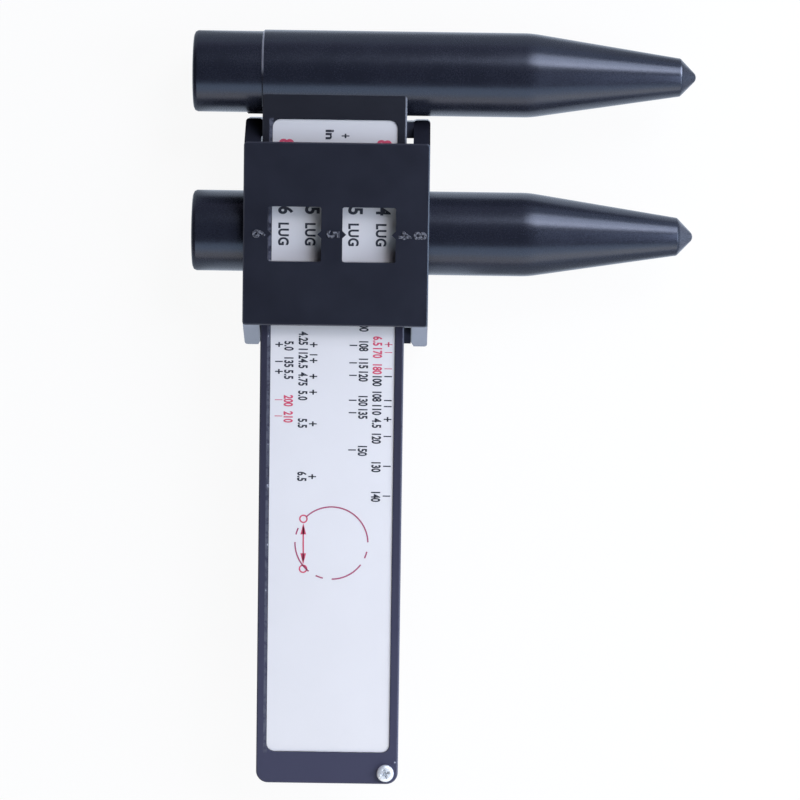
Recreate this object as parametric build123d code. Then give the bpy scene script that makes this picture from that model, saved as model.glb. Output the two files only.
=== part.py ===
from build123d import *
from math import asin, atan2, cos, hypot, sin, sqrt
import os

# Bolt pattern gauge: a flat scale beam with a tapered probe fixed across its head,
# and a windowed slider that carries a second probe along the beam.
# While it is built, X runs from the probes' butt ends to their tips, Y runs up the
# beam with the fixed probe's axis at Y = 0, and Z is up from the gauge's flat back.

# Probes
probe_length = 117.7
probe_diameter = 19.7
taper_length = 35.8
shoulder_diameter = 9.0
tip_length = 4.2
tip_radius = 1.6
barrel_wall = 3.25
bore_end_setback = 1.5
bore_point_length = 3.8
barrel_mouth_chamfer = 0.35

# Butt caps, plugged into the barrels
cap_step = 0.35
cap_length = 16.15
cap_rim = 0.95
cap_rim_break = 0.3
spigot_length = 7.0
spigot_clearance = 0.05

# Scale beam, which frames the label
beam_thickness = 5.0
beam_left = 16.4
beam_sink = 1.4
beam_rail = 2.28
beam_end_margin = 7.6
beam_corner_radius = 2.8
beam_edge_chamfer = 0.3

# Saddle at the beam's head, under the fixed probe
saddle_web_lip = 0.3
saddle_side_lip = 0.05
saddle_side_height = 10.0
saddle_back_lip = 0.44
saddle_back_height = 6.2
saddle_floor = 2.1
saddle_corner_chamfer = 0.4
seat_clearance = 0.03

# Scale label, in a recess in the beam
label_width = 29.1
label_length = 149.55
label_thickness = 0.5
label_corner_radius = 1.9
label_head_gap = 10.8
label_offset = 0.15
label_recess = 0.8
label_clearance = 0.1

# Slider
probe_spacing = 37.4
wall_thickness = 3.9
side_play = 0.25
spring_gap = 1.6
slide_play = 0.2
cover_length = 42.7
cover_thickness = 2.7
cover_corner_radius = 0.8
cover_edge_chamfer = 0.3
head_ear_run = 5.15
tail_ear_run = 5.85
head_ear_drop = 8.0
tail_ear_drop = 12.5
ear_corner_radius = 0.7
ear_lead_in = 0.7
head_wall_inset = 0.3
tail_wall_inset = 1.3
end_wall_thickness = 3.8
cradle_wall = 1.85
bore_clearance = 0.05

# Windows in the slider's cover, each with two pointers on the probe's axis
window_width = 12.45
window_height = 12.8
window_bar = 4.9
window_shift = 1.0
window_corner_radius = 0.5
pointer_length = 0.9
pointer_width = 1.7

# Locating keys under the cover, in sockets in the tops of the side walls
key_length = 5.0
key_width = 1.6
key_depth = 3.0
key_spring_gap = 1.5
key_clearance = 0.03

# Bowed strip that presses the beam against the slider's left wall
spring_thickness = 0.3
spring_width = 4.4
spring_chord = 26.0
spring_clearance = 0.1
spring_tab = 1.5
spring_notch_clearance = 0.1

# Countersunk screws that hold the probes, and the pan head screw that stops the slider
screw_diameter = 3.0
screw_length = 6.0
screw_head_diameter = 5.6
screw_head_height = 1.65
screw_sink = 0.15
screw_offset = 8.0
screw_clearance = 0.1
thread_clearance = 0.02
cross_width = 0.75
cross_depth = 0.9
stop_diameter = 2.0
stop_length = 4.4
stop_head_diameter = 4.0
stop_head_height = 1.3
stop_rim_height = 0.55
stop_crown_run = 0.7
stop_end_margin = 2.7
stop_side_margin = 3.0

# Places that follow from the sizes above
probe_radius = probe_diameter / 2
bore_radius = probe_radius - barrel_wall
cap_radius = probe_radius - cap_step
axis_height = saddle_floor + probe_radius
crest_height = axis_height + probe_radius
beam_top = crest_height - beam_sink
beam_bottom = beam_top - beam_thickness
beam_width = label_width + 2 * beam_rail
beam_right = beam_left + beam_width
beam_reach = label_head_gap + label_length + beam_end_margin
seat_radius = probe_radius + seat_clearance
saddle_web = probe_radius + saddle_web_lip
saddle_side = probe_radius + saddle_side_lip
saddle_back = sqrt(seat_radius ** 2 - (axis_height - saddle_back_height) ** 2) + saddle_back_lip
cradle_half = probe_radius + cradle_wall
slot_width = side_play + beam_width + spring_gap
slot_left = beam_left - side_play
slot_right = slot_left + slot_width
slider_left = slot_left - wall_thickness
slider_width = slot_width + 2 * wall_thickness
slider_centre = slider_left + slider_width / 2
bed_height = beam_bottom - slide_play
cover_bottom = beam_top + slide_play
taper_start = probe_length - tip_length - taper_length


def box_between(low, high):
    """Box from its lowest to its highest corner."""
    size = [h - l for l, h in zip(low, high)]
    centre = [(h + l) / 2 for l, h in zip(low, high)]
    return Pos(*centre) * Box(*size)


def rounded_slab(width, length, height, radius):
    """Slab standing on Z = 0 about the origin, with its upright corners rounded."""
    return extrude(RectangleRounded(width, length, radius), height)


def rod_along_x(radius, start, end, y):
    """Cylinder on a probe's axis line at the given Y."""
    return Pos((start + end) / 2, y, axis_height) * Rot(0, 90, 0) * Cylinder(radius, end - start)


def screw_places(y):
    """The two screws under a probe, either side of the middle of its seat."""
    return [Location((slider_centre + side * screw_offset, y, 0)) for side in (-1, 1)]


def make_barrel():
    """Turned barrel: straight shank, long taper, blunt cone with a round nose, blind bore."""
    shoulder_radius = shoulder_diameter / 2
    shoulder_x = probe_length - tip_length
    nose_run = tip_length - tip_radius
    nose_reach = hypot(nose_run, shoulder_radius)
    nose_angle = atan2(shoulder_radius, nose_run) - asin(tip_radius / nose_reach)
    flank = sqrt(nose_reach ** 2 - tip_radius ** 2)
    flank_end = (shoulder_x + flank * cos(nose_angle), shoulder_radius - flank * sin(nose_angle))
    bore_end = taper_start - bore_end_setback

    skin = Polyline(
        (cap_length, bore_radius),
        (cap_length, probe_radius - barrel_mouth_chamfer),
        (cap_length + barrel_mouth_chamfer, probe_radius),
        (taper_start, probe_radius),
        (shoulder_x, shoulder_radius),
        flank_end,
    )
    nose = TangentArc(flank_end, (probe_length, 0), tangent=(cos(nose_angle), -sin(nose_angle)))
    bore = Polyline(
        (probe_length, 0),
        (bore_end + bore_point_length, 0),
        (bore_end, bore_radius),
        (cap_length, bore_radius),
    )
    return revolve(make_face(skin + nose + bore), Axis.X)


def make_cap():
    """Butt cap: a plug with a twice bevelled outer rim and a spigot that enters the barrel."""
    spigot_radius = bore_radius - spigot_clearance
    outline = Polyline(
        (0, 0),
        (0, cap_radius - cap_rim),
        (cap_rim_break, cap_radius - cap_rim_break),
        (cap_rim, cap_radius),
        (cap_length, cap_radius),
        (cap_length, spigot_radius),
        (cap_length + spigot_length, spigot_radius),
        (cap_length + spigot_length, 0),
        close=True,
    )
    return revolve(make_face(outline), Axis.X)


def make_screw_hole(clearance):
    """Countersunk hole rising from the back, with the screw head's own slope."""
    shank_radius = screw_diameter / 2 + clearance
    slope = (screw_head_diameter - screw_diameter) / 2 / screw_head_height
    sink_height = screw_sink + screw_head_height
    sink = Cone(shank_radius + slope * sink_height, shank_radius, sink_height,
                align=(Align.CENTER, Align.CENTER, Align.MIN))
    shank = Pos(0, 0, axis_height / 2) * Cylinder(shank_radius, axis_height)
    return sink + shank


def make_cross(reach):
    """Cross recess cutter, open at Z = 0 and cut downwards."""
    arm = Pos(0, 0, -cross_depth / 2) * Box(reach, cross_width, cross_depth)
    return arm + Rot(0, 0, 90) * arm


def make_probe_screw():
    """Countersunk screw pointing up, its head just inside the gauge's back."""
    head = Cone(screw_head_diameter / 2, screw_diameter / 2, screw_head_height,
                align=(Align.CENTER, Align.CENTER, Align.MIN))
    shank = Cylinder(screw_diameter / 2, screw_length, align=(Align.CENTER, Align.CENTER, Align.MIN))
    recess = Rot(180, 0, 0) * make_cross(screw_head_diameter * 0.55)
    return Pos(0, 0, screw_sink) * (head + shank - recess)


def make_probe(y):
    """Barrel with pilot holes for its two screws."""
    barrel = Pos(0, y, axis_height) * make_barrel()
    for place in screw_places(y):
        pilot = Pos(0, 0, axis_height / 2) * Cylinder(screw_diameter / 2 + thread_clearance, axis_height)
        barrel -= place * pilot
    return barrel


def make_beam():
    """Flat beam with a label recess, ending in the saddle that holds the fixed probe."""
    plate = box_between((beam_left, -beam_reach, beam_bottom), (beam_right, 0, beam_top))
    end_corners = plate.edges().filter_by(Axis.Z).group_by(Axis.Y)[0]
    plate = fillet(end_corners, beam_corner_radius)
    plate = chamfer(plate.faces().sort_by(Axis.Z)[-1].edges(), beam_edge_chamfer)

    web = box_between((beam_left, -saddle_web, 0), (beam_right, 0, beam_bottom))
    front = box_between((slider_left, -saddle_side, 0), (slider_left + slider_width, 0, saddle_side_height))
    front = chamfer(front.edges().filter_by(Axis.Z).group_by(Axis.Y)[0], saddle_corner_chamfer)
    back = box_between((slider_left, 0, 0), (slider_left + slider_width, saddle_back, saddle_back_height))
    back = chamfer(back.edges().filter_by(Axis.Z).group_by(Axis.Y)[-1], saddle_corner_chamfer)

    recess = rounded_slab(label_width + 2 * label_clearance, label_length + 2 * label_clearance,
                          label_recess, label_corner_radius + label_clearance)
    recess = Pos(*label_place(), beam_top - label_recess) * recess
    stop_hole = Pos(*stop_place(), beam_top - stop_length / 2)
    stop_hole *= Cylinder(stop_diameter / 2 + thread_clearance, stop_length)

    beam = plate + web + front + back
    beam -= rod_along_x(seat_radius, 0, probe_length, 0)
    beam -= recess + stop_hole
    for place in screw_places(0):
        beam -= place * make_screw_hole(screw_clearance)
    return beam


def label_place():
    return beam_left + beam_width / 2 + label_offset, -label_head_gap - label_length / 2


def stop_place():
    return beam_right - stop_side_margin, -beam_reach + stop_end_margin


def make_label():
    """Thin printed plate lying in the beam's recess."""
    plate = rounded_slab(label_width, label_length, label_thickness, label_corner_radius)
    return Pos(*label_place(), beam_top - label_recess) * plate


def make_stop_screw():
    """Pan head cross screw standing on the beam's free end."""
    head_radius = stop_head_diameter / 2
    outline = Polyline(
        (0, 0),
        (head_radius, 0),
        (head_radius, stop_rim_height),
        (head_radius - stop_crown_run, stop_head_height),
        (0, stop_head_height),
        close=True,
    )
    head = revolve(Plane.XZ * make_face(outline), Axis.Z)
    shank = Cylinder(stop_diameter / 2, stop_length, align=(Align.CENTER, Align.CENTER, Align.MAX))
    recess = Pos(0, 0, stop_head_height) * make_cross(stop_head_diameter * 0.6)
    return Pos(*stop_place(), beam_top) * (head + shank - recess)


def make_slider_body():
    """Moulded body: ramped side walls, end walls, a cradle for the probe, open between them."""
    half_cover = cover_length / 2
    head_end = half_cover + head_ear_run
    tail_end = half_cover + tail_ear_run
    side = Polygon(
        (-tail_end, 0), (head_end, 0), (head_end, cover_bottom - head_ear_drop),
        (half_cover, cover_bottom), (-half_cover, cover_bottom),
        (-tail_end, cover_bottom - tail_ear_drop),
        align=None,
    )
    body = extrude(Plane.YZ * side, slider_width)
    body = fillet(body.edges().filter_by(Axis.Z), ear_corner_radius)
    body -= box_between((wall_thickness, -tail_end, bed_height),
                        (wall_thickness + slot_width, head_end, cover_bottom))
    about = Pos(slider_width, 0, 0) * Rot(0, 0, 180)
    for turn, end, inset in ((Pos(0, 0, 0), head_end, head_wall_inset), (about, tail_end, tail_wall_inset)):
        outer = end - inset
        inner = outer - end_wall_thickness
        end_wall = box_between((wall_thickness, inner, 0), (wall_thickness + slot_width, outer, bed_height))
        relief = box_between((wall_thickness, outer, 0), (wall_thickness + slot_width, end, bed_height))
        pocket = box_between((wall_thickness, cradle_half, 0), (wall_thickness + slot_width, inner, bed_height))
        lead_in = extrude(Polygon((wall_thickness, outer), (wall_thickness, end),
                                  (wall_thickness - ear_lead_in, end), align=None), cover_bottom)
        opposite = mirror(lead_in, Plane.YZ.offset(slider_width / 2))
        body += turn * end_wall
        body -= turn * (relief + pocket + lead_in + opposite)
    for x, y in key_places():
        body -= Pos(x, y, cover_bottom - key_depth / 2) * make_key(key_clearance)
    body = Pos(slider_left, -probe_spacing, 0) * body
    body -= rod_along_x(probe_radius + bore_clearance, 0, probe_length, -probe_spacing)
    for place in screw_places(-probe_spacing):
        body -= place * make_screw_hole(screw_clearance)
    notch_height = spring_width / 2 + spring_notch_clearance
    for side in (-1, 1):
        y = -probe_spacing + side * (spring_chord - spring_thickness) / 2
        reach = spring_thickness / 2 + spring_notch_clearance
        body -= box_between((slot_right, y - reach, spring_middle() - notch_height),
                            (slot_right + spring_tab + spring_notch_clearance, y + reach,
                             spring_middle() + notch_height))
    return body


def key_places():
    """Keys over the middle of each side wall, from the slider's left face and centre line."""
    offset = (spring_chord + key_length) / 2 + key_spring_gap
    return [(x, side * offset)
            for x in (wall_thickness / 2, slider_width - wall_thickness / 2) for side in (-1, 1)]


def make_key(clearance):
    return Box(key_width + 2 * clearance, key_length + 2 * clearance, key_depth)


def make_pointer():
    """Triangle that points to +X from the origin's left side."""
    return Polygon((0, -pointer_width / 2), (pointer_length, 0), (0, pointer_width / 2), align=None)


def make_cover():
    """Cover plate with two windows, whose sides carry pointers, and four keys below."""
    plate = rounded_slab(slider_width, cover_length, cover_thickness, cover_corner_radius)
    plate = chamfer(plate.faces().sort_by(Axis.Z)[-1].edges(), cover_edge_chamfer)
    window = RectangleRounded(window_width, window_height, window_corner_radius)
    left_pointer = Pos(-window_width / 2, 0) * make_pointer()
    right_pointer = Pos(window_width / 2, 0) * Rot(0, 0, 180) * make_pointer()
    opening = extrude(window - left_pointer - right_pointer, cover_thickness)
    for side in (-1, 1):
        plate -= Pos(side * (window_width + window_bar) / 2 - window_shift, 0, 0) * opening
    plate = Pos(slider_width / 2, 0, 0) * plate
    for x, y in key_places():
        plate += Pos(x, y, -key_depth / 2) * make_key(0)
    plate = Pos(slider_left, -probe_spacing, cover_bottom) * plate
    return plate - rod_along_x(probe_radius + bore_clearance, 0, probe_length, -probe_spacing)


def make_sliding_probe_notch():
    """Flat milled across the sliding probe and its cap, which lets the beam pass over it."""
    return box_between((slot_left, -probe_spacing - probe_diameter, bed_height),
                       (slot_right, -probe_spacing + probe_diameter, axis_height + probe_diameter))


def spring_middle():
    return (bed_height + cover_bottom) / 2


def make_spring():
    """Steel strip bowed towards the beam, with its ends bent into notches in the wall."""
    bow = slot_right - spring_thickness - beam_right - spring_clearance
    half = spring_chord / 2
    inner_x = slot_right - spring_thickness
    inner = ThreePointArc((inner_x, -half), (inner_x - bow, 0), (inner_x, half))
    outer = ThreePointArc((slot_right, half - spring_thickness), (slot_right - bow, 0),
                          (slot_right, -half + spring_thickness))
    tab_x = slot_right + spring_tab
    upper = Polyline((inner_x, half), (tab_x, half), (tab_x, half - spring_thickness),
                     (slot_right, half - spring_thickness))
    lower = Polyline((slot_right, -half + spring_thickness), (tab_x, -half + spring_thickness),
                     (tab_x, -half), (inner_x, -half))
    strip = extrude(make_face(inner + upper + outer + lower), spring_width)
    return Pos(0, -probe_spacing, spring_middle() - spring_width / 2) * strip


def make_parts():
    notch = make_sliding_probe_notch()
    cap = make_cap()
    screw = make_probe_screw()
    return {
        "beam": make_beam(),
        "scale_label": make_label(),
        "stop_screw": make_stop_screw(),
        "fixed_probe": make_probe(0),
        "fixed_probe_cap": Pos(0, 0, axis_height) * cap,
        "fixed_probe_screws": Compound([place * screw for place in screw_places(0)]),
        "slider_body": make_slider_body(),
        "slider_cover": make_cover(),
        "side_spring": make_spring(),
        "sliding_probe": make_probe(-probe_spacing) - notch,
        "sliding_probe_cap": Pos(0, -probe_spacing, axis_height) * cap - notch,
        "sliding_probe_screws": Compound([place * screw for place in screw_places(-probe_spacing)]),
    }


# The finished gauge stands on its back, centred over the origin
centring = Pos(-probe_length / 2, (beam_reach - probe_radius) / 2, 0)

os.makedirs("parts", exist_ok=True)
for name, part in make_parts().items():
    export_step(centring * part, f"parts/{name}.step")
    print(name, round(part.volume, 1))
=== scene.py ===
from math import cos, pi, radians, sin

import bmesh
import bpy
import numpy as np
from mathutils import Euler, Matrix, Vector


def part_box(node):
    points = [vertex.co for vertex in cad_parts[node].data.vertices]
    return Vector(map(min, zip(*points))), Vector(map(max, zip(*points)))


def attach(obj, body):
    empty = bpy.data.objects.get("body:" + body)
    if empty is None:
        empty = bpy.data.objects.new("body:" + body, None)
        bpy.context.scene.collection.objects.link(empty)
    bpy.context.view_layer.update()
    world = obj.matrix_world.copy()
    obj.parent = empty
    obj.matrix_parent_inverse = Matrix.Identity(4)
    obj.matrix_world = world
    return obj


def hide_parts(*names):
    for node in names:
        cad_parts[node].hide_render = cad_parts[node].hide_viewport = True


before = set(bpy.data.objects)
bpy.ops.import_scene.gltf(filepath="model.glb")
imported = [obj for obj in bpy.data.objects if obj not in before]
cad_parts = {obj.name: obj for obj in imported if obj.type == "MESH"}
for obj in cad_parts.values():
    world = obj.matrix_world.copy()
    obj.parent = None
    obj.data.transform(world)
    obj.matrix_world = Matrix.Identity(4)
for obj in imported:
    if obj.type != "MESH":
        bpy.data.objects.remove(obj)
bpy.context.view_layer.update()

# A bolt pattern gauge lying on a white table. Sizes are millimetres until a mesh is made: X runs along
# the probes to their tips, Y up the beam to its head, and Z out of the printed face.
mm = 0.001
bodies = {"beam": "beam_unit", "slider": "slider_unit"}

for leftover in ("Cube", "Light", "Camera"):
    if leftover in bpy.data.objects:
        bpy.data.objects.remove(bpy.data.objects[leftover])


# Places on the CAD model

def nodeBox(name):
    # lowest and highest corner of a CAD node, in millimetres
    low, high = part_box(name)
    return np.array(low) / mm, np.array(high) / mm


def readPoints(mesh):
    # a mesh's points, in its own units
    points = np.empty(3 * len(mesh.vertices))
    mesh.vertices.foreach_get("co", points)
    return points.reshape(-1, 3)


labelLow, labelHigh = nodeBox("scale_label")
coverLow, coverHigh = nodeBox("slider_cover")
fixedLow, fixedHigh = nodeBox("fixed_probe")
slidingLow, slidingHigh = nodeBox("sliding_probe")
stopLow, stopHigh = nodeBox("stop_screw")
beamTop = nodeBox("beam")[1][2]

barPoints = readPoints(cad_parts["beam"].data) / mm
barSides = barPoints[barPoints[:, 1] < 0, 0]            # clear of the wider saddle at the head
barLeft, barRight = barSides.min(), barSides.max()
labelMiddle = (labelLow[0] + labelHigh[0]) / 2
labelTop = labelHigh[2]
fixedAxis = (fixedLow[1] + fixedHigh[1]) / 2
slidingAxis = (slidingLow[1] + slidingHigh[1]) / 2
coverMiddle = (coverLow[0] + coverHigh[0]) / 2
coverTop = coverHigh[2]


# Shader maths

class Wire:
    # one socket of a shader; adding, multiplying and so on put Math nodes behind it
    def __init__(self, board, socket):
        self.board = board
        self.socket = socket

    def maths(self, operation, *values):
        return self.board.node("ShaderNodeMath", {"operation": operation}, dict(enumerate(values)))

    def __add__(self, other):
        return self.maths("ADD", self, other)

    def __sub__(self, other):
        return self.maths("SUBTRACT", self, other)

    def __rsub__(self, other):
        return self.maths("SUBTRACT", other, self)

    def __mul__(self, other):
        return self.maths("MULTIPLY", self, other)

    def __truediv__(self, other):
        return self.maths("DIVIDE", self, other)

    def __rtruediv__(self, other):
        return self.maths("DIVIDE", other, self)

    def __pow__(self, other):
        return self.maths("POWER", self, other)

    def __abs__(self):
        return self.maths("ABSOLUTE", self)

    __radd__ = __add__
    __rmul__ = __mul__

    def larger(self, other):
        return self.maths("MAXIMUM", self, other)

    def smaller(self, other):
        return self.maths("MINIMUM", self, other)

    def rise(self, start, end, origin=0):
        # smooth step from 0 to 1 between two distances past the origin
        return self.board.node("ShaderNodeMapRange", {"interpolation_type": "SMOOTHSTEP"},
                               {"Value": self, "From Min": origin + start, "From Max": origin + end})

    def within(self, low, high, soft, origin=0):
        # 1 between two distances past the origin, with soft edges outside
        low, high = origin + low, origin + high
        return self.rise(low - soft, low) * (1 - self.rise(high, high + soft))


socketNames = {
    "baseColor": "Base Color",
    "roughness": "Roughness",
    "metallic": "Metallic",
    "normal": "Normal",
    "coatWeight": "Coat Weight",
    "coatRoughness": "Coat Roughness",
    "index": "IOR",
    "tint": "Specular Tint",
}


class Board:
    # a node tree that is filled from Python
    def __init__(self, tree):
        self.tree = tree
        tree.nodes.clear()

    def node(self, kind, settings=None, inputs=None, output=0):
        node = self.tree.nodes.new(kind)
        for name, value in (settings or {}).items():
            setattr(node, name, value)
        for name, value in (inputs or {}).items():
            if isinstance(value, Wire):
                self.tree.links.new(value.socket, node.inputs[name])
            else:
                node.inputs[name].default_value = value
        return Wire(self, node.outputs[output]) if output is not None else None

    def coordinate(self, name="Object"):
        return self.node("ShaderNodeTexCoord", output=name)

    def axes(self, vector):
        split = self.node("ShaderNodeSeparateXYZ", None, {0: vector})
        return [Wire(self, socket) for socket in split.socket.node.outputs]

    def stretched(self, vector, scale):
        return self.node("ShaderNodeMapping", None, {"Vector": vector, "Scale": scale})

    def noise(self, vector, size, detail, roughness):
        # soft noise whose blobs are about size millimetres across
        return self.node("ShaderNodeTexNoise", None,
                         {"Vector": vector, "Scale": 1 / (size * mm), "Detail": detail,
                          "Roughness": roughness})

    def cells(self, vector, size):
        # distance to the nearest of scattered points, about size millimetres apart
        return self.node("ShaderNodeTexVoronoi", None, {"Vector": vector, "Scale": 1 / (size * mm)})

    def blend(self, mask, first, second):
        # inputs 6 and 7 and output 2 of a Mix node are its colours
        return self.node("ShaderNodeMix", {"data_type": "RGBA"},
                         {0: mask, 6: first, 7: second}, output=2)

    def bump(self, height, depth):
        # height 0 to 1 stands for depth millimetres
        return self.node("ShaderNodeBump", None, {"Height": height, "Distance": depth * mm})

    def mixed(self, share, first, second):
        return self.node("ShaderNodeMixShader", None, {0: share, 1: first, 2: second})

    def surface(self, **values):
        sockets = {socketNames[name]: value for name, value in values.items()}
        self.finish(self.node("ShaderNodeBsdfPrincipled", None, sockets))

    def finish(self, shader, kind="ShaderNodeOutputMaterial"):
        self.node(kind, None, {"Surface": shader}, output=None)


def newFinish(name):
    material = bpy.data.materials.new(name)
    material.use_nodes = True
    return material, Board(material.node_tree)


def scaled(colour, factor, lift=0.0):
    return tuple(factor * value + lift for value in colour[:3]) + (1,)


def dress(material, *nodeNames):
    # CAD nodes take a finish
    for nodeName in nodeNames:
        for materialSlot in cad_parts[nodeName].material_slots:
            materialSlot.material = material


# Mesh helpers: a part is an array of points in millimetres and an array of triangles

sharpAngle = 30        # degrees between two faces from which their edge isn't smoothed


def quadsOfGrid(rows, columns):
    # two triangles for each cell of a grid of points, whose last column joins the first
    row, column = np.meshgrid(np.arange(rows - 1), np.arange(columns), indexing="ij")
    nextColumn = (column + 1) % columns
    a, b = row * columns + column, row * columns + nextColumn
    c, d = (row + 1) * columns + nextColumn, (row + 1) * columns + column
    return np.concatenate([np.stack([a, b, c], -1).reshape(-1, 3),
                           np.stack([a, c, d], -1).reshape(-1, 3)])


def turnedPart(rings, firstPole, lastPole):
    # skin of a turned solid: rings of points, one row each, closed by a fan round a pole at either end
    rows, columns = rings.shape[:2]
    ring = np.arange(columns)
    nextRing = (ring + 1) % columns
    firstIndex, lastIndex, lastRow = rows * columns, rows * columns + 1, (rows - 1) * columns
    fans = [np.stack([np.full(columns, firstIndex), nextRing, ring], 1),
            np.stack([np.full(columns, lastIndex), lastRow + ring, lastRow + nextRing], 1)]
    points = np.concatenate([rings.reshape(-1, 3), [firstPole, lastPole]])
    return points, np.concatenate([quadsOfGrid(rows, columns)] + fans)


def joined(parts):
    points, triangles, count = [], [], 0
    for partPoints, partTriangles in parts:
        points.append(partPoints)
        triangles.append(partTriangles + count)
        count += len(partPoints)
    return np.concatenate(points), np.concatenate(triangles)


def partOfShell(shell):
    # the points of a bmesh in its own units, and its triangles; the bmesh is used up
    mesh = bpy.data.meshes.new("shell")
    shell.to_mesh(mesh)
    shell.free()
    mesh.calc_loop_triangles()
    triangles = np.empty(3 * len(mesh.loop_triangles), int)
    mesh.loop_triangles.foreach_get("vertices", triangles)
    points = readPoints(mesh)
    bpy.data.meshes.remove(mesh)
    return points, triangles.reshape(-1, 3)


def makePiece(name, part, finish, body, smooth=False):
    points, triangles = part
    mesh = bpy.data.meshes.new(name)
    mesh.from_pydata((points * mm).tolist(), [], triangles.tolist())
    mesh.polygons.foreach_set("use_smooth", [smooth] * len(mesh.polygons))
    mesh.materials.append(finish)
    mesh.update()
    piece = bpy.data.objects.new(name, mesh)
    bpy.context.scene.collection.objects.link(piece)
    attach(piece, bodies[body])
    if smooth:
        mesh.set_sharp_from_angle(angle=radians(sharpAngle))
    return piece


def ribbon(path, width, low, high):
    # a flat bar carried along a path in X and Y: each point of the path is pushed out by half the
    # width along the path's normal, on both sides, at the low and the high level
    path = np.asarray(path, float)
    along = np.gradient(path, axis=0)
    along /= np.linalg.norm(along, axis=1, keepdims=True)
    normal = np.stack([-along[:, 1], along[:, 0]], 1)
    halves = np.broadcast_to(np.asarray(width, float).reshape(-1, 1) / 2, (len(path), 1))
    left, right = path + normal * halves, path - normal * halves
    ring = [(left, low), (right, low), (right, high), (left, high)]
    points = np.stack([np.column_stack([side, np.full(len(path), level)]) for side, level in ring], 1)
    last = 4 * (len(path) - 1)
    caps = np.array([[0, 1, 2], [0, 2, 3], [last, last + 2, last + 1], [last, last + 3, last + 2]])
    triangles = np.concatenate([quadsOfGrid(len(path), 4), caps])
    return points.reshape(-1, 3), triangles[:, ::-1]


font = {
    "digitHeight": 0.729,           # of a numeral, as a share of the font's size
    "curveSteps": 6,
    "bevelSteps": 2,
    "mergeGap": 0.000001,
}


def wordMesh(text, height, squeeze, boldness, extrude=0.0, bevel=0.0, spacing=1.0):
    # solid lettering that reads towards +X and stands on Y = 0, as points and triangles. Extrude is
    # half its thickness and bevel the rounding added to that; boldness is a share of its size
    size = height / font["digitHeight"]
    curve = bpy.data.curves.new("word", "FONT")
    curve.body = text
    curve.size = 1.0
    curve.offset = boldness
    curve.extrude = extrude / size
    curve.bevel_depth = bevel / size
    curve.bevel_resolution = font["bevelSteps"] if bevel else 0
    curve.resolution_u = font["curveSteps"]
    curve.space_character = spacing
    curve.align_x = "CENTER"
    holder = bpy.data.objects.new("word", curve)
    bpy.context.scene.collection.objects.link(holder)
    bpy.context.view_layer.update()
    mesh = bpy.data.meshes.new_from_object(
        holder.evaluated_get(bpy.context.evaluated_depsgraph_get()))
    shell = bmesh.new()
    shell.from_mesh(mesh)
    bpy.data.objects.remove(holder)
    bpy.data.curves.remove(curve)
    bpy.data.meshes.remove(mesh)
    bmesh.ops.remove_doubles(shell, verts=shell.verts, dist=font["mergeGap"])
    points, triangles = partOfShell(shell)
    return points * (size * squeeze, size, size), triangles


def turnedDown(part, x, y, z):
    # lettering turned a quarter clockwise, so that it reads towards -Y, with its foot at x
    points, triangles = part
    return np.column_stack([points[:, 1] + x, -points[:, 0] + y, points[:, 2] + z]), triangles


# Plastics. They are blue-black, so that even their highlights are cool. Here and below a noise is
# given by its size in millimetres, its detail and its roughness

plastic = {
    "tint": (0.76, 0.83, 1.0, 1),
    "index": 1.58,
    "grain": (0.22, 3.0, 0.6),
    "grainDepth": 0.006,
}

slider = {
    "colour": (0.010, 0.010, 0.016, 1),
    "cloud": (9.0, 3.0, 0.6),
    "cloudLight": 1.5,              # the clouds' colour, as a multiple of the plain one
    "roughness": 0.36,
    "cloudRoughness": 0.10,
    "grainRoughness": 0.10,
    "index": 1.80,
    "coat": 0.6,
    "coatRoughness": 0.22,
    # painted reflection of the bright table on the ear ramps that face the tail
    "rampReflectionColour": (0.140, 0.142, 0.185, 1),
    "earGap": (0.2, 1.8, 0.1),      # outside the bar's left side, its right side, and how soft
    "earStart": (-0.3, 0.1),        # about the cover's edge towards the tail
    "earHeight": (6, 9),
    "rampLean": (0.6, 0.8),         # from here on a face leans enough towards the tail
    "uprightLean": (0.93, 0.98),    # and from here on it is the ear's end
}


def makeSliderFinish():
    # clouded plastic. The ramps carry a painted reflection, paler: the faces of the ears, outside the
    # bar and past the cover, that lean towards the tail, as the Y of their normal says, but aren't
    # upright
    material, board = newFinish("slider plastic")
    place = board.coordinate()
    x, y, z = (value / mm for value in board.axes(place))
    grain = board.noise(place, *plastic["grain"])
    cloud = board.noise(place, *slider["cloud"])
    left, right, soft = slider["earGap"]
    ears = 1 - x.within(barLeft - left, barRight + right, soft)
    ears = ears * (1 - y.rise(*slider["earStart"], origin=coverLow[1])) * z.rise(*slider["earHeight"])
    lean = 0 - board.axes(board.coordinate("Normal"))[1]
    rampReflection = ears * lean.rise(*slider["rampLean"]) * (1 - lean.rise(*slider["uprightLean"]))
    colour = board.blend(cloud, slider["colour"], scaled(slider["colour"], slider["cloudLight"]))
    board.surface(
        baseColor=board.blend(rampReflection, colour, slider["rampReflectionColour"]),
        roughness=(slider["roughness"] + slider["cloudRoughness"] * (cloud - 0.5)
                   + slider["grainRoughness"] * (grain - 0.5)),
        index=slider["index"],
        tint=plastic["tint"],
        coatWeight=slider["coat"],
        coatRoughness=slider["coatRoughness"],
        normal=board.bump(grain, plastic["grainDepth"]),
    )
    return material
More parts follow.
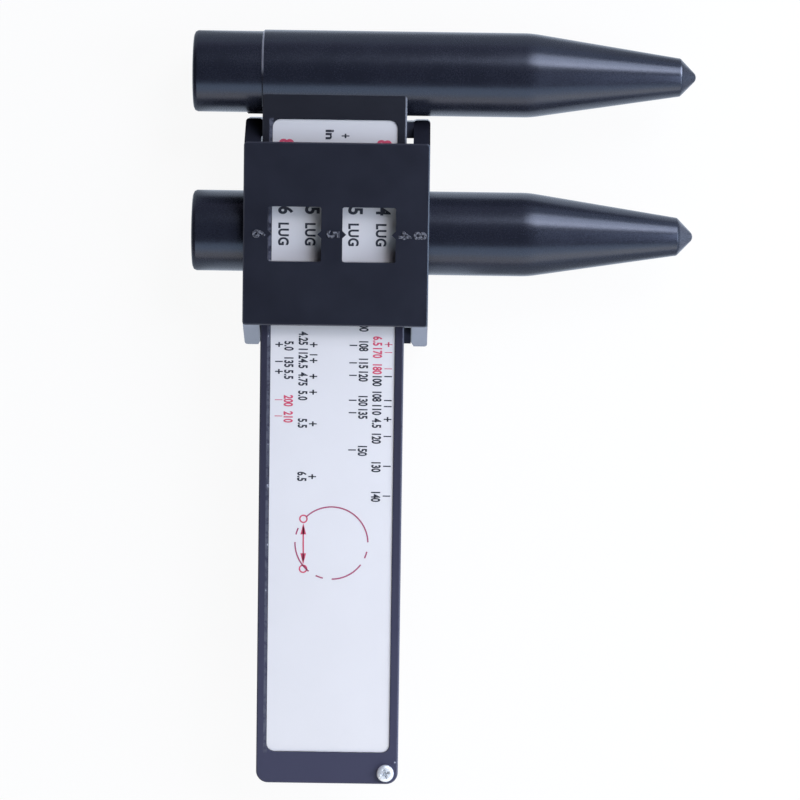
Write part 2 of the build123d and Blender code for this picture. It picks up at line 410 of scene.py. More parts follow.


# The beam is painted darker at its head, as shade between the probes, and paler towards the tail, as
# painted light. The slider has worn the bar's edges, and their pale bands are partly painted
# highlight.
# An edge is where a band starts and ends past a side of the bar or the label, and how soft it is.
# Depths are measured up from the bar's face
beam = {
    # painted shade at the head, painted light on the rails below it and more towards the tail
    "headShadeColour": (0.009, 0.008, 0.011, 1),
    "railColour": (0.026, 0.023, 0.040, 1),     # below the head
    "railRun": (22, 60),
    "tailLightColour": (0.052, 0.049, 0.084, 1),     # and paler still towards the tail
    "tailRun": (-75, 22),
    "roughness": 0.46,
    "cloud": (7.0, 3.0, 0.6),
    "cloudRoughness": 0.12,
    "grainRoughness": 0.10,
    "broken": (1.3, 3.0, 0.6),                  # breaks up all the wear and painted highlights below
    "edgeWearAndHighlightColour": (0.60, 0.60, 0.66, 1),        # bare edges of the bar's face, partly painted highlight
    "edgeDepth": (-0.6, -0.3),
    "edgeBreak": (0.2, 0.5),
    "rightEdge": (-0.40, 0.1, 0.08),
    "rightWearAndHighlight": 0.05,
    "headHighlight": 0.17,                           # painted highlight on the edge beside the label's head end
    "headRun": (-8, -4),
    "leftEdge": (-0.1, 0.3, 0.08),
    "leftWearAndHighlight": 0.04,
    "frontDepth": (-2.0, -1.0),
    "recessWallHighlightColour": (0.11, 0.11, 0.14, 1),       # painted highlight on the recess wall at the label's left side
    "innerEdge": (-0.75, 0.1, 0.12),
    "innerEnds": 0.5,
    "innerBreak": (0.3, 0.6),
    "fleckColour": (0.45, 0.46, 0.52, 1),       # flecks on that stripe, and one chip at the tail
    "fleckGap": 1.3,
    "fleckRadius": (0.12, 0.26),
    "fleckBreak": (0.45, 0.6),
    "fleckEdge": (-0.6, -0.1, 0.1),
    "fleckRun": (-42, 45, 3),
    "chip": (-9.5, -83.6),
    "chipRadius": 0.2,
    "chipSoft": (-0.1, 0.1),
    "chipRagged": 0.3,
}


def makeBeamFinish():
    material, board = newFinish("beam plastic")
    place = board.coordinate()
    x, y, z = (value / mm for value in board.axes(place))
    grain = board.noise(place, *plastic["grain"])
    cloud = board.noise(place, *beam["cloud"])
    broken = board.noise(place, *beam["broken"])
    # painted shade at the head, painted light towards the tail
    colour = board.blend(1 - y.rise(*beam["railRun"]), beam["headShadeColour"], beam["railColour"])
    colour = board.blend(1 - y.rise(*beam["tailRun"]), colour, beam["tailLightColour"])

    atHead = y.rise(*beam["headRun"], origin=labelHigh[1])
    # painted highlight and wear along the bar's edges, strongest on the right edge at the head
    rightWearAndHighlight = beam["rightWearAndHighlight"] + beam["headHighlight"] * atHead
    wearAndHighlight = (x.within(*beam["rightEdge"], origin=barRight) * rightWearAndHighlight
            + x.within(*beam["leftEdge"], origin=barLeft) * beam["leftWearAndHighlight"])
    wearAndHighlight = wearAndHighlight * z.rise(*beam["edgeDepth"], origin=beamTop) * broken.rise(*beam["edgeBreak"])
    colour = board.blend(wearAndHighlight, colour, beam["edgeWearAndHighlightColour"])

    # painted highlight on the recess wall beside the label's left side
    onFront = z.rise(*beam["frontDepth"], origin=beamTop)
    inner = x.within(*beam["innerEdge"], origin=labelLow[0])
    inner = inner * y.within(labelLow[1], labelHigh[1], beam["innerEnds"])
    inner = inner * onFront * broken.rise(*beam["innerBreak"])
    colour = board.blend(inner, colour, beam["recessWallHighlightColour"])

    flecks = 1 - board.cells(place, beam["fleckGap"]).rise(*beam["fleckRadius"])
    flecks = flecks * broken.rise(*beam["fleckBreak"])
    flecks = flecks * x.within(*beam["fleckEdge"], origin=labelLow[0]) * y.within(*beam["fleckRun"])
    chipX, chipY = beam["chip"]
    chipGap = ((x - chipX) ** 2 + (y - chipY) ** 2) ** 0.5 + beam["chipRagged"] * (broken - 0.5)
    chip = 1 - chipGap.rise(*beam["chipSoft"], origin=beam["chipRadius"])
    board.surface(
        baseColor=board.blend(flecks.larger(chip) * onFront, colour, beam["fleckColour"]),
        roughness=(beam["roughness"] + beam["cloudRoughness"] * (cloud - 0.5)
                   + beam["grainRoughness"] * (grain - 0.5)),
        index=plastic["index"],
        tint=plastic["tint"],
        normal=board.bump(grain, plastic["grainDepth"]),
    )
    return material


# Metals: nickel plate on the screws, and the brushed strip of the side spring

nickel = {
    "colour": (0.97, 0.98, 0.98, 1),
    "smudgeColour": (0.86, 0.87, 0.89, 1),
    "smudge": (0.6, 3.0, 0.6),
    "metallic": 0.5,
    "roughness": 0.38,
    "smudgeRoughness": 0.14,
    "grain": (0.15, 2.0, 0.5),
    "grainDepth": 0.002,
}

spring = {
    "colour": (0.46, 0.46, 0.48, 1),
    "brightColour": (0.56, 0.56, 0.58, 1),
    "brush": (0.1, 2.0, 0.5),
    "brushStretch": (1, 0.05, 1),
    "metallic": 1.0,
    "roughness": 0.28,
    "brushRoughness": 0.12,
    "brushDepth": 0.001,
}


def makeNickelFinish():
    material, board = newFinish("nickel plate")
    place = board.coordinate()
    smudge = board.noise(place, *nickel["smudge"])
    board.surface(
        baseColor=board.blend(smudge, nickel["colour"], nickel["smudgeColour"]),
        metallic=nickel["metallic"],
        roughness=nickel["roughness"] + nickel["smudgeRoughness"] * smudge,
        normal=board.bump(board.noise(place, *nickel["grain"]), nickel["grainDepth"]),
    )
    return material


def makeSpringFinish():
    material, board = newFinish("spring steel")
    along = board.stretched(board.coordinate(), spring["brushStretch"])
    brushed = board.noise(along, *spring["brush"])
    board.surface(
        baseColor=board.blend(brushed, spring["colour"], spring["brightColour"]),
        metallic=spring["metallic"],
        roughness=spring["roughness"] + spring["brushRoughness"] * brushed,
        normal=board.bump(brushed, spring["brushDepth"]),
    )
    return material


nickelFinish = makeNickelFinish()
dress(makeSliderFinish(), "slider_body", "slider_cover")
dress(makeBeamFinish(), "beam")
dress(nickelFinish, "stop_screw", "fixed_probe_screws", "sliding_probe_screws")
dress(makeSpringFinish(), "side_spring")
print("slider, beam, screws and spring dressed")


# Label and inks

label = {
    "colour": (0.88, 0.84, 0.82, 1),
    "cloud": (12.0, 2.0, 0.5),
    "cloudShade": 0.96,
    "headShade": 0.82,           # painted shade: the plate is darker towards the head, by the probes and the cover
    "headShadeRun": (-20, 60),
    "roughness": 0.34,
    "grain": (0.5, 3.0, 0.6),
    "grainRoughness": 0.08,
    "grainDepth": 0.003,
}

inks = {
    "black": {"name": "black ink", "colour": (0.018, 0.018, 0.026, 1)},
    "red": {"name": "red ink", "colour": (0.58, 0.06, 0.12, 1)},
    "figureRed": {"name": "dark red ink", "colour": (0.36, 0.05, 0.12, 1)},
}

printing = {
    "grain": (0.12, 2.0, 0.6),
    "fade": 1.3,
    "fadeLift": 0.01,
    "roughness": 0.5,
    "grainRoughness": 0.1,
    "thickness": 0.02,
    "sunk": 0.005,                  # how far the ink reaches into the plate, so that no gap shows
}


def makeLabelFinish():
    material, board = newFinish("label lacquer")
    place = board.coordinate()
    grain = board.noise(place, *label["grain"])
    cloud = board.noise(place, *label["cloud"])
    y = board.axes(place)[1] / mm
    colour = board.blend(cloud, label["colour"], scaled(label["colour"], label["cloudShade"]))
    # painted shade towards the head
    shadedHeadColour = scaled(label["colour"], label["headShade"])
    board.surface(
        baseColor=board.blend(y.rise(*label["headShadeRun"]), colour, shadedHeadColour),
        roughness=label["roughness"] + label["grainRoughness"] * (grain - 0.5),
        normal=board.bump(grain, label["grainDepth"]),
    )
    return material


def makeInk(name, colour):
    material, board = newFinish(name)
    grain = board.noise(board.coordinate(), *printing["grain"])
    faded = scaled(colour, printing["fade"], printing["fadeLift"])
    board.surface(
        baseColor=board.blend(grain, colour, faded),
        roughness=printing["roughness"] + printing["grainRoughness"] * grain,
    )
    return material


dress(makeLabelFinish(), "scale_label")


# Printed scales

scale = {
    "numeralHeight": 2.12,
    "numeralSqueeze": 0.62,
    "numeralBoldness": 0.032,
    "numeralPitch": 0.89,
    "pointPitch": 0.50,
    "tickWidth": 0.27,
    "redTickWidth": 0.17,
    "crossWidth": 0.38,
    "crossHeight": 1.15,
    "inch": 25.4,
}

# Each mark: bolt circle, its unit, how far its numerals are moved along the scale to clear the next.
# The last five-bolt mark is printed short of its place by the fourth value, as in the photograph.
columns = [
    {"lugs": 6, "ink": "black", "marks": (-13.45, -11.65), "foot": -11.23,
     "rows": [(5.0, "in", 0.28), (135, "mm", 0.05), (5.5, "in", 0.70)]},
    {"lugs": 8, "ink": "red", "marks": (-13.45, -11.65), "foot": -11.25,
     "rows": [(200, "mm", 0.20), (210, "mm", 0.20)]},
    {"lugs": 5, "ink": "black", "marks": (-5.35, -3.55), "foot": -7.88,
     "rows": [(4.25, "in", -1.45), (112, "mm", -0.38), (4.5, "in", 0.76), (4.75, "in", 0.70),
              (5.0, "in", 0.80), (5.5, "in", -0.10), (6.5, "in", 0.0, 2.42)]},
    {"lugs": 5, "ink": "black", "marks": (3.95, 5.75), "foot": 6.28,
     "rows": [(100, "mm", 0.1), (108, "mm", 0.03), (115, "mm", 0.0), (120, "mm", 0.1),
              (130, "mm", 0.0), (135, "mm", 0.15), (150, "mm", 0.05)]},
    {"lugs": 8, "ink": "red", "marks": (12.2, 14.0), "foot": 9.53,
     "rows": [(6.5, "in", -0.78), (170, "mm", 0.0), (180, "mm", 0.0)]},
    {"lugs": 4, "ink": "black", "marks": (12.2, 14.0), "foot": 9.53,
     "rows": [(100, "mm", 0.97), (108, "mm", -1.03), (110, "mm", 0.72), (4.5, "in", 0.96),
              (120, "mm", 0.41), (130, "mm", 0.1), (140, "mm", 0.07)]},
]

inkLow, inkHigh = labelTop - printing["sunk"], labelTop + printing["thickness"]
printed = {ink: [] for ink in inks}


def chordPlace(circle, unit, lugs):
    # neighbouring bolts lie a chord apart: circle times the sine of half the angle between them
    size = circle * (scale["inch"] if unit == "in" else 1)
    return fixedAxis - size * sin(pi / lugs)


def inkPath(ink, path, width):
    printed[ink].append(ribbon(path, width, inkLow, inkHigh))


def inkBar(ink, start, end, width):
    inkPath(ink, np.linspace(start, end, 2), width)


def inkWord(ink, text, height, squeeze, boldness, x, y, spacing=1.0):
    half = (inkHigh - inkLow) / 2
    word = wordMesh(text, height, squeeze, boldness, extrude=half, spacing=spacing)
    printed[ink].append(turnedDown(word, x, y, inkLow + half))


def inkNumber(ink, text, x, y):
    # every numeral stands in the middle of its own pitch, so that a 1 is as wide as an 8
    steps = [scale["pointPitch" if letter == "." else "numeralPitch"] for letter in text]
    top = y + sum(steps) / 2
    for letter, step in zip(text, steps):
        inkWord(ink, letter, scale["numeralHeight"], scale["numeralSqueeze"],
                scale["numeralBoldness"], x, top - step / 2)
        top -= step


def printScales():
    # a tick for each bolt circle, crossed where it is in inches, and its number beside it
    for column in columns:
        left, right = (labelMiddle + value for value in column["marks"])
        ink = column["ink"]
        tickWidth = scale["redTickWidth" if ink == "red" else "tickWidth"]
        for circle, unit, shift, *short in column["rows"]:
            y = chordPlace(circle, unit, column["lugs"]) + sum(short)
            inkBar(ink, (left, y), (right, y), tickWidth)
            if unit == "in":
                middle, half = (left + right) / 2, scale["crossHeight"] / 2
                inkBar(ink, (middle, y - half), (middle, y + half), scale["crossWidth"])
            inkNumber(ink, str(circle), labelMiddle + column["foot"], y - shift)


# Each heading: number of bolts, ink, its foot, and how far it stands above the row that shows at rest
headings = {
    "rows": [("6", "black", -12.92, 0.0), ("5", "black", -6.67, 0.0), ("5", "black", 3.43, 0.0),
             ("4", "black", 9.88, 0.0), ("8", "red", -12.85, 15.7), ("8", "red", 9.95, 15.7)],
    "digitPlace": -32.0,
    "wordPlace": -37.55,
    "wordSpacing": 1.08,
    "digitHeight": 3.3,
    "wordHeight": 2.4,
    "squeeze": 0.82,
    "boldness": 0.036,
}

# The key to the marks: a crossed tick for inches and a plain one for millimetres
legend = {
    "rows": [("in", 0.0), ("mm", 4.6)],         # unit, and how far down the beam
    "height": 2.0,
    "squeeze": 1.22,
    "boldness": 0.036,
    "foot": -2.15,
    "place": -14.25,
    "tick": (1.5, 3.3),
    "tickPlace": -14.53,
    "crossHeight": 1.05,
}


def printHeadings():
    shape = headings["squeeze"], headings["boldness"]
    for digit, ink, foot, up in headings["rows"]:
        inkWord(ink, digit, headings["digitHeight"], *shape,
                labelMiddle + foot, fixedAxis + headings["digitPlace"] + up)
        inkWord(ink, "LUG", headings["wordHeight"], *shape,
                labelMiddle + foot, fixedAxis + headings["wordPlace"] + up, headings["wordSpacing"])


def printLegend():
    for unit, down in legend["rows"]:
        inkWord("black", unit, legend["height"], legend["squeeze"], legend["boldness"],
                labelMiddle + legend["foot"], fixedAxis + legend["place"] - down)
    left, right = (labelMiddle + value for value in legend["tick"])
    top = fixedAxis + legend["tickPlace"]
    for unit, down in legend["rows"]:
        inkBar("black", (left, top - down), (right, top - down), scale["tickWidth"])
    middle, half = (left + right) / 2, legend["crossHeight"] / 2
    inkBar("black", (middle, top - half), (middle, top + half), scale["crossWidth"])


# Diagram of a bolt circle, with a double arrow between neighbouring bolt holes. Arcs are in degrees
diagram = {
    "middle": (0.26, -110.35),
    "radius": 8.6,
    "lineWidth": 0.33,
    "arcs": [(2, 134), (-13, -24), (-36, -89), (-103, -115), (-128, -181), (167, 156)],
    "arcStep": 4,
    "holes": [(-6.40, -104.67), (-6.36, -116.57)],
    "holeRadius": 0.85,
    "holeStep": 15,
    "shaftGap": 2.0,                # from a hole's middle
    "arrowGap": 0.25,
    "arrowLength": 2.6,
    "arrowWidths": (0.05, 1.35),    # at its tip and at its root
    "arrowSteps": 6,
}


def arcPath(middle, radius, start, end, step):
    # points on a circle, one for every step of degrees
    turns = np.radians(np.linspace(start, end, max(2, int(abs(end - start) / step) + 1)))
    return np.column_stack([middle[0] + radius * np.cos(turns), middle[1] + radius * np.sin(turns)])


def printDiagram():
    lineWidth = diagram["lineWidth"]
    middle, *holes = (np.array([labelMiddle + x, fixedAxis + y])
                      for x, y in [diagram["middle"]] + diagram["holes"])
    for start, end in diagram["arcs"]:
        arc = arcPath(middle, diagram["radius"], start, end, diagram["arcStep"])
        inkPath("figureRed", arc, lineWidth)
    for hole in holes:
        inkPath("red", arcPath(hole, diagram["holeRadius"], 0, 360, diagram["holeStep"]), lineWidth)
    gap = (0, diagram["shaftGap"])
    inkBar("red", holes[0] - gap, holes[1] + gap, lineWidth)
    for hole, way in zip(holes, (-1, 1)):
        tip = hole + (0, way * (diagram["holeRadius"] + diagram["arrowGap"]))
        root = tip + (0, way * diagram["arrowLength"])
        widths = np.linspace(*diagram["arrowWidths"], diagram["arrowSteps"])
        inkPath("red", np.linspace(tip, root, diagram["arrowSteps"]), widths)


printScales()
printHeadings()
printLegend()
printDiagram()
for ink, parts in printed.items():
    makePiece("print_" + ink, joined(parts), makeInk(**inks[ink]), "beam")
print("print laid on the label")


# Raised figures on the slider's cover, their faces painted pale in patches as painted highlights

figures = {
    "rows": [("6", -19.4), ("5", -2.05), ("4", 14.7), ("8", 18.2)],
    "height": 2.9,
    "squeeze": 0.95,
    "boldness": 0.01,
    "extrude": 0.06,
    "bevel": 0.12,
    "colour": (0.03, 0.03, 0.04, 1),
    # painted highlights: pale patches on the figures' faces
    "highlightColour": (0.17, 0.17, 0.19, 1),
    "highlightPatches": (0.5, 2.0, 0.5),
    "highlightEdge": (0.42, 0.60),
    "roughness": 0.55,
    "highlightRoughness": 0.1,
}


def makeFigureFinish():
    material, board = newFinish("figures with painted highlights")
    highlightPatches = board.noise(board.coordinate(), *figures["highlightPatches"]).rise(*figures["highlightEdge"])
    board.surface(
        baseColor=board.blend(highlightPatches, figures["colour"], figures["highlightColour"]),
        roughness=figures["roughness"] - figures["highlightRoughness"] * highlightPatches,
    )
    return material


raised = []
for digit, foot in figures["rows"]:
    word = wordMesh(digit, figures["height"], figures["squeeze"], figures["boldness"],
                    figures["extrude"], figures["bevel"])
    raised.append(turnedDown(word, coverMiddle + foot, slidingAxis, coverTop))
makePiece("cover_figures", joined(raised), makeFigureFinish(), "slider")
print("figures raised on the cover")


# Stop screw: pan head with a cross recess

stopScrew = {
    "radius": 2.0,
    "rim": 0.55,
    "rimEdge": 0.495,               # where the dome meets the upright side
    "crown": 1.3,
    "domePower": 4,
    "domeDrop": 0.96,
    "domeRings": 60,
    "foot": 0.05,                   # chamfer where the head meets the beam
    "crossAngle": 20,
    "wingReach": 1.2,
    "wingEase": 0.35,
    "wingWidth": 0.46,
    "wallEase": 0.12,
    "recessDepth": 0.9,
    "shankRadius": 1.0,
    "shankLength": 4.4,
    "segments": 120,
}


def screwSurface():
    # a lathe: rings of points at radius r and height z, turned through the angle t. The crown is a
    # flattened dome, rim + (crown - rim) * sqrt(1 - drop * (r / radius) ^ power). The recess takes off
    # its depth inside two crossed bars, which ease out at their ends and sides.
    radius, rim, crown = stopScrew["radius"], stopScrew["rim"], stopScrew["crown"]
    shank, end, foot = stopScrew["shankRadius"], -stopScrew["shankLength"], stopScrew["foot"]
    dome = radius * np.sin(np.linspace(0, 1, stopScrew["domeRings"])[1:] * pi / 2)
    drop = stopScrew["domeDrop"] * (dome / radius) ** stopScrew["domePower"]
    height = rim + (crown - rim) * np.sqrt(1 - drop)
    r = np.concatenate([dome, [radius, radius, radius - foot, shank, shank]])
    z = np.concatenate([height, [stopScrew["rimEdge"], foot, 0, 0, end]])
    turns = np.linspace(0, 2 * pi, stopScrew["segments"], endpoint=False)
    rr, tt = np.meshgrid(r, turns, indexing="ij")
    zz = np.repeat(z[:, None], len(turns), 1)
    lean = tt - radians(stopScrew["crossAngle"])
    a, b = np.abs(rr * np.cos(lean)), np.abs(rr * np.sin(lean))

    def wing(along, across):
        reach = np.clip((stopScrew["wingReach"] - along) / stopScrew["wingEase"], 0, 1)
        wall = np.clip((stopScrew["wingWidth"] / 2 - across) / stopScrew["wallEase"] + 0.5, 0, 1)
        return reach * wall

    sunk = np.maximum(wing(a, b), wing(b, a)) * stopScrew["recessDepth"]
    zz[:len(dome)] -= sunk[:len(dome)]
    rings = np.stack([rr * np.cos(tt), rr * np.sin(tt), zz], -1)
    points, triangles = turnedPart(rings, (0, 0, crown - stopScrew["recessDepth"]), (0, 0, end))
    return points, triangles[:, ::-1]


headPoints, headTriangles = screwSurface()
stopMiddle = (stopLow + stopHigh) / 2
headPoints = headPoints + (stopMiddle[0], stopMiddle[1], beamTop)
piece = makePiece("stop_screw_head", (headPoints, headTriangles), nickelFinish, "beam",
                  smooth=True)
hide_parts("stop_screw")
print("stop screw turned")


# Probes turned from the CAD's profile, with the eased shoulders that the solids leave sharp

probe = {
    "colour": (0.012, 0.013, 0.020, 1),
    "cloud": (8.0, 3.0, 0.6),
    "cloudLight": 1.4,
    "roughness": 0.27,
    "cloudRoughness": 0.10,
    "grainRoughness": 0.16,
    "grain": (0.30, 3.0, 0.7),
    "rings": (0.25, 2.0, 0.5),
    "ringStretch": (1, 0.03, 0.03),
    "grainShare": 0.6,              # of the bump; the rings have the rest
    "bumpDepth": 0.006,
    "joint": fixedLow[0],
    "mouthChamfer": 0.35,
    # painted highlight on the +Y side of the fixed barrel's mouth chamfer
    "mouthHighlightColour": (0.60, 0.61, 0.68, 1),
    "mouthEdge": (-0.02, 0.36, 0.03),
    "mouthSide": (1.5, 8, 2.5),
    "mouthHighlight": 0.8,
    "mouthBreak": 0.6,
    "radius": (fixedHigh[1] - fixedLow[1]) / 2,
    "axisHeight": (fixedHigh[2] + fixedLow[2]) / 2,
    "boreRadius": 6.6,
    "boreEnd": 17.35,
    "borePoint": 21.15,
    "shoulder": 20.1,
    "shoulderEase": 3.6,
    "neck": 55.15,
    "neckRadius": 4.45,
    "neckEase": 0.30,
    # painted highlight on the +Y side of the fixed probe's neck
    "neckHighlightColour": (0.26, 0.27, 0.32, 1),
    "neckEdge": (-0.14, 0.16, 0.05),
    "neckSide": (1.2, 1.9, 1.2),
    "noseColour": (0.055, 0.057, 0.070, 1),
    "noseEdge": (0.2, 0.8),
    "fixedNoseLessPale": 0.75,            # how much less pale the fixed probe's nose is
    "noseBetween": (10, 12),
    "noseStart": 58.32,
    "noseStartRadius": 1.188,
    "noseRadius": 1.6,
    "noseRings": 9,
    "outlineSteps": (11, 16, 9, 8, 4),          # shank, shoulder, taper, neck and nose
    "segments": 128,
    "hiddenStart": 2.0,             # the sliding one is turned from this far inside the cover's side
    "mergeGap": 0.001,
    "cutGap": 0.0001,
}


def makeProbeFinish():
    # fine turning marks round the barrel, with grains that catch the lamp; painted highlights lie on
    # the
    # +Y side of the fixed barrel's mouth and neck; both noses are paler, the sliding probe's most
    material, board = newFinish("probe plastic")
    place = board.coordinate()
    x, y = (value / mm for value in board.axes(place)[:2])
    grain = board.noise(place, *probe["grain"])
    rings = board.noise(board.stretched(place, probe["ringStretch"]), *probe["rings"])
    cloud = board.noise(place, *probe["cloud"])
    mouth = x.within(*probe["mouthEdge"], origin=probe["joint"])
    mouth = mouth * y.within(*probe["mouthSide"], origin=fixedAxis)
    mouth = mouth * (probe["mouthHighlight"] + probe["mouthBreak"] * (cloud - 0.5))
    neck = x.within(*probe["neckEdge"], origin=probe["neck"])
    neck = neck * y.within(*probe["neckSide"], origin=fixedAxis)
    nose = x.rise(*probe["noseEdge"], origin=probe["neck"])
    nose = nose * (1 - probe["fixedNoseLessPale"] * y.rise(*probe["noseBetween"], origin=slidingAxis))
    colour = board.blend(cloud, probe["colour"], scaled(probe["colour"], probe["cloudLight"]))
    colour = board.blend(mouth, colour, probe["mouthHighlightColour"])
    colour = board.blend(nose, colour, probe["noseColour"])
    board.surface(
        baseColor=board.blend(neck, colour, probe["neckHighlightColour"]),
        roughness=(probe["roughness"] + probe["cloudRoughness"] * (cloud - 0.5)
                   + probe["grainRoughness"] * (grain - 0.5)),
        index=plastic["index"],
        tint=plastic["tint"],
        normal=board.bump(grain * probe["grainShare"] + rings * (1 - probe["grainShare"]),
                          probe["bumpDepth"]),
    )
    return material


def bend(distance, width):
    # 0 before a corner and the distance past it after; between, over the width, a parabola
    eased = np.clip(distance + width / 2, 0, width) ** 2 / (2 * width)
    return eased + np.maximum(distance - width / 2, 0)


def probeOutline():
    # radius along X: the shank's radius, bent to the taper's slope at the shoulder and to the nose's
    # slope at the neck, then a quarter turn of the round nose down to the axis
    shoulder, neck, noseStart = probe["shoulder"], probe["neck"], probe["noseStart"]
    shoulderHalf, neckHalf = probe["shoulderEase"] / 2, probe["neckEase"] / 2
    taperSlope = (probe["neckRadius"] - probe["radius"]) / (neck - shoulder)
    noseSlope = (probe["noseStartRadius"] - probe["neckRadius"]) / (noseStart - neck)
    stops = [probe["joint"] + probe["mouthChamfer"], shoulder - shoulderHalf, shoulder + shoulderHalf,
             neck - neckHalf, neck + neckHalf, noseStart]
    x = np.concatenate([stops[:1]] + [np.linspace(start, end, steps + 1)[1:] for start, end, steps
                                      in zip(stops, stops[1:], probe["outlineSteps"])])
    r = (probe["radius"] + taperSlope * bend(x - shoulder, probe["shoulderEase"])
         + (noseSlope - taperSlope) * bend(x - neck, probe["neckEase"]))
    noseRadius = probe["noseRadius"]
    turn = np.linspace(np.arcsin(probe["noseStartRadius"] / noseRadius), 0, probe["noseRings"])[1:-1]
    noseX = fixedHigh[0] - noseRadius * (1 - np.cos(turn))
    return np.concatenate([x, noseX]), np.concatenate([r, noseRadius * np.sin(turn)])


def probeSkin(startX, axisY):
    # a lathe about the probe's axis: the bore from its point to startX, then the outline to the tip
    x, r = probeOutline()
    keep = x > startX
    bore, start = probe["boreRadius"], probe["radius"]
    if startX <= probe["joint"]:
        start = start - probe["mouthChamfer"]
    x = np.concatenate([[probe["boreEnd"], startX, startX], x[keep]])[:, None]
    r = np.concatenate([[bore, bore, start], r[keep]])
    turns = np.linspace(0, 2 * pi, probe["segments"], endpoint=False)
    across, up = r[:, None] * np.cos(turns), r[:, None] * np.sin(turns)
    rings = np.stack(np.broadcast_arrays(x, axisY + across, probe["axisHeight"] + up), -1)
    return turnedPart(rings, (probe["borePoint"], axisY, probe["axisHeight"]),
                      (fixedHigh[0], axisY, probe["axisHeight"]))


def cutBarrel(nodeName, cutX):
    # a merged copy of the CAD barrel, as far as cutX: it keeps the notch that the beam runs through
    shell = bmesh.new()
    shell.from_mesh(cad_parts[nodeName].data)
    bmesh.ops.remove_doubles(shell, verts=shell.verts, dist=probe["mergeGap"] * mm)
    everything = shell.verts[:] + shell.edges[:] + shell.faces[:]
    bmesh.ops.bisect_plane(shell, geom=everything, dist=probe["cutGap"] * mm,
                           plane_co=(cutX * mm, 0, 0), plane_no=(1, 0, 0), clear_outer=True)
    rim = [edge for edge in shell.edges if edge.is_boundary]
    bmesh.ops.triangle_fill(shell, edges=rim, normal=(1, 0, 0))
    bmesh.ops.triangulate(shell, faces=shell.faces)
    points, triangles = partOfShell(shell)
    return points / mm, triangles


probeFinish = makeProbeFinish()
dress(probeFinish, "fixed_probe", "fixed_probe_cap", "sliding_probe", "sliding_probe_cap")
hiddenCut = coverHigh[0] - probe["hiddenStart"]
slidingSkin = joined([cutBarrel("sliding_probe", hiddenCut), probeSkin(hiddenCut, slidingAxis)])
for nodeName, skin, body in (("fixed_probe", probeSkin(probe["joint"], fixedAxis), "beam"),
                             ("sliding_probe", slidingSkin, "slider")):
    piece = makePiece(nodeName + "_turned", skin, probeFinish, body, smooth=True)
    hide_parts(nodeName)
print("probes turned and dressed")


# Table. It is white to the camera and pale to what mirrors it, and a matte share keeps the shadow

table = {
    "half": 3.0,                    # metres
    "height": -0.0001,              # just clear of the feet that stand on it
    "matteColour": (0.85, 0.85, 0.86, 1),
    "whiteShare": 0.93,
    "glowColour": (0.75, 0.85, 1.0, 1),
    "nearGlow": 1.2,
    "farGlow": 0.56,
    "glowReach": (8, 14),           # millimetres from the outline
    "outline": ("beam", "fixed_probe", "sliding_probe", "slider_body"),
    "beyond": 1000.0,               # further than any place that matters
}
white = (1, 1, 1, 1)


def outlineGap(board):
    # distance in millimetres from the outline of the gauge, as the least distance from four boxes:
    # for each, the length of (|x - middle| - half, |y - middle| - half) with negative sides set to 0
    flat = [value / mm for value in board.axes(board.coordinate())[:2]]
    nearest = table["beyond"] ** 2
    for nodeName in table["outline"]:
        low, high = nodeBox(nodeName)
        middle, half = (low + high) / 2, (high - low) / 2
        across, along = ((abs(value - middle[axis]) - half[axis]).larger(0)
                         for axis, value in enumerate(flat))
        nearest = (across ** 2 + along ** 2).smaller(nearest)
    return nearest ** 0.5


def makeTable():
    material, board = newFinish("table")
    seen, glossy, passed = (board.node("ShaderNodeLightPath", output=name)
                            for name in ("Is Camera Ray", "Is Glossy Ray", "Is Transmission Ray"))
    # a painted pool of light: to what mirrors it the table glows brighter near the gauge's outline
    far = outlineGap(board).rise(*table["glowReach"])
    glow = board.blend(far, scaled(table["glowColour"], table["nearGlow"]),
                       scaled(table["glowColour"], table["farGlow"]))
    bright = board.node("ShaderNodeEmission", None, {"Color": board.blend(seen, glow, white)})
    matte = board.node("ShaderNodeBsdfDiffuse", None, {"Color": table["matteColour"]})
    above = board.mixed(seen * table["whiteShare"] + glossy + passed, matte, bright)
    underneath = board.node("ShaderNodeNewGeometry", output="Backfacing")       # clear from below
    board.finish(board.mixed(underneath, above, board.node("ShaderNodeBsdfTransparent")))
    half = table["half"]
    corners = [(x, y, table["height"])
               for x, y in ((-half, -half), (half, -half), (half, half), (-half, half))]
    mesh = bpy.data.meshes.new("table")
    mesh.from_pydata(corners, [], [(0, 1, 2, 3)])
    mesh.materials.append(material)
    piece = bpy.data.objects.new("table", mesh)
    bpy.context.scene.collection.objects.link(piece)


# The studio is dark overhead and glows at the horizon, most of all on the side of the tips: each glow
# is multiplied by a power of 1 - |z|, and the second also by x
studio = {
    "horizon": (0.32, 0.29, 0.39, 1),
    "horizonPower": 3,
    "tipSide": (1.05, 1.62, 2.15, 1),
    "tipSidePower": 2,
}


def makeStudio():
    world = bpy.data.worlds.new("studio")
    bpy.context.scene.world = world
    world.use_nodes = True
    board = Board(world.node_tree)
    x, y, z = board.axes(board.coordinate("Generated"))
    low = 1 - abs(z)
    horizon = board.node("ShaderNodeBackground", None, {
        "Color": studio["horizon"], "Strength": low ** studio["horizonPower"]})
    tipSide = board.node("ShaderNodeBackground", None, {
        "Color": studio["tipSide"], "Strength": low ** studio["tipSidePower"] * x.larger(0)})
    glow = board.node("ShaderNodeAddShader", None, {0: horizon, 1: tipSide})
    daylight = board.node("ShaderNodeBackground", None, {"Color": white, "Strength": 1.0})
    seen = board.node("ShaderNodeLightPath", output="Is Camera Ray")
    board.finish(board.mixed(seen, glow, daylight), "ShaderNodeOutputWorld")


makeTable()
makeStudio()
print("table and studio set")


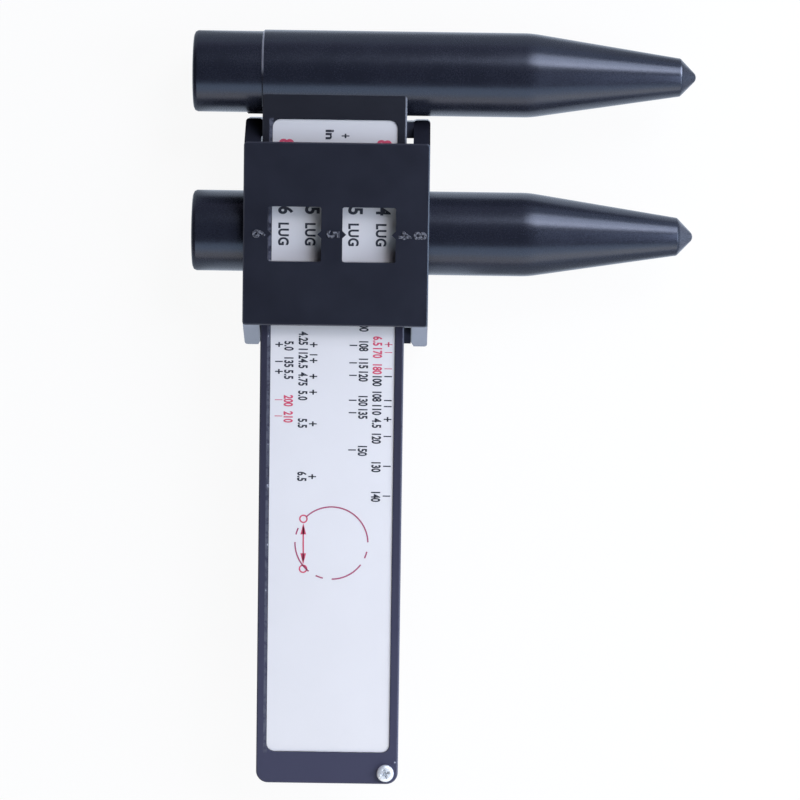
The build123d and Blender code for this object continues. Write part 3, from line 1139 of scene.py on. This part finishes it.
# Softboxes: tilt off the vertical and turn round from +X in degrees, distance from the point aimed at,
# width and height in metres, and the radiance that a mirror would show
gaugeMiddle, tailAim = (0, 0, 0), (-0.02, -0.02, 0.01)
softboxes = {
    "key": {"tilt": 44, "turn": 61, "distance": 0.95, "size": (0.195, 0.195),
            "radiance": 4.2, "colour": (1.0, 0.95, 1.0), "aim": gaugeMiddle},
    "window": {"tilt": 52, "turn": 60, "distance": 0.95, "size": (0.50, 0.50),
               "radiance": 6.4, "colour": (0.82, 0.87, 1.0), "aim": gaugeMiddle},
    "front": {"tilt": 44, "turn": 274, "distance": 0.95, "size": (0.85, 0.45),
              "radiance": 1.85, "colour": (0.66, 0.82, 1.0), "aim": gaugeMiddle},
    "tail": {"tilt": 65, "turn": 269, "distance": 0.31, "size": (0.60, 0.15),
             "radiance": 1.45, "colour": (1.0, 0.95, 0.88), "aim": tailAim},
    "tailCorner": {"tilt": 65, "turn": 317, "distance": 0.36, "size": (0.25, 0.20),
                   "radiance": 0.65, "colour": (1.0, 0.92, 0.75), "aim": tailAim},
    "side": {"tilt": 55, "turn": 9, "distance": 0.40, "size": (0.25, 0.30),
             "radiance": 5.4, "colour": (0.67, 0.76, 1.0), "aim": tailAim},
    "lowSide": {"tilt": 69, "turn": 12, "distance": 0.37, "size": (0.30, 0.12),
                "radiance": 1.35, "colour": (1.0, 0.88, 0.45), "aim": tailAim},
}


def makeSoftbox(name, box):
    # its power is pi times its area times its radiance
    width, height = box["size"]
    lamp = bpy.data.lights.new(name, "AREA")
    lamp.shape = "RECTANGLE"
    lamp.size, lamp.size_y = width, height
    lamp.energy = pi * width * height * box["radiance"]
    lamp.color = box["colour"]
    tilt, turn = radians(box["tilt"]), radians(box["turn"])
    way = Vector((sin(tilt) * cos(turn), sin(tilt) * sin(turn), cos(tilt)))
    holder = bpy.data.objects.new(name, lamp)
    bpy.context.scene.collection.objects.link(holder)
    place = Vector(box["aim"]) + way * box["distance"]
    holder.matrix_world = Matrix.LocRotScale(place, way.to_track_quat("Z", "Y"), None)


# The camera looks almost straight down from 0.85 m
view = {
    "place": (-0.00866, 0.090639, 0.85065),     # metres
    "turn": (-6.03196, 0.14420, 0.80702),       # degrees about X, Y and Z
    "lens": 160.0722,
    "sensor": 36.0,
    "clip": (0.05, 20),
}


def makeCamera():
    cameraData = bpy.data.cameras.new("camera")
    cameraData.sensor_width = view["sensor"]
    cameraData.lens = view["lens"]
    cameraData.clip_start, cameraData.clip_end = view["clip"]
    camera = bpy.data.objects.new("camera", cameraData)
    bpy.context.scene.collection.objects.link(camera)
    turn = Euler([radians(angle) for angle in view["turn"]])
    camera.matrix_world = Matrix.LocRotScale(Vector(view["place"]), turn, None)
    bpy.context.scene.camera = camera


for name, box in softboxes.items():
    makeSoftbox(name, box)
makeCamera()
bpy.context.scene.view_settings.view_transform = "Standard"
print("softboxes and camera placed")
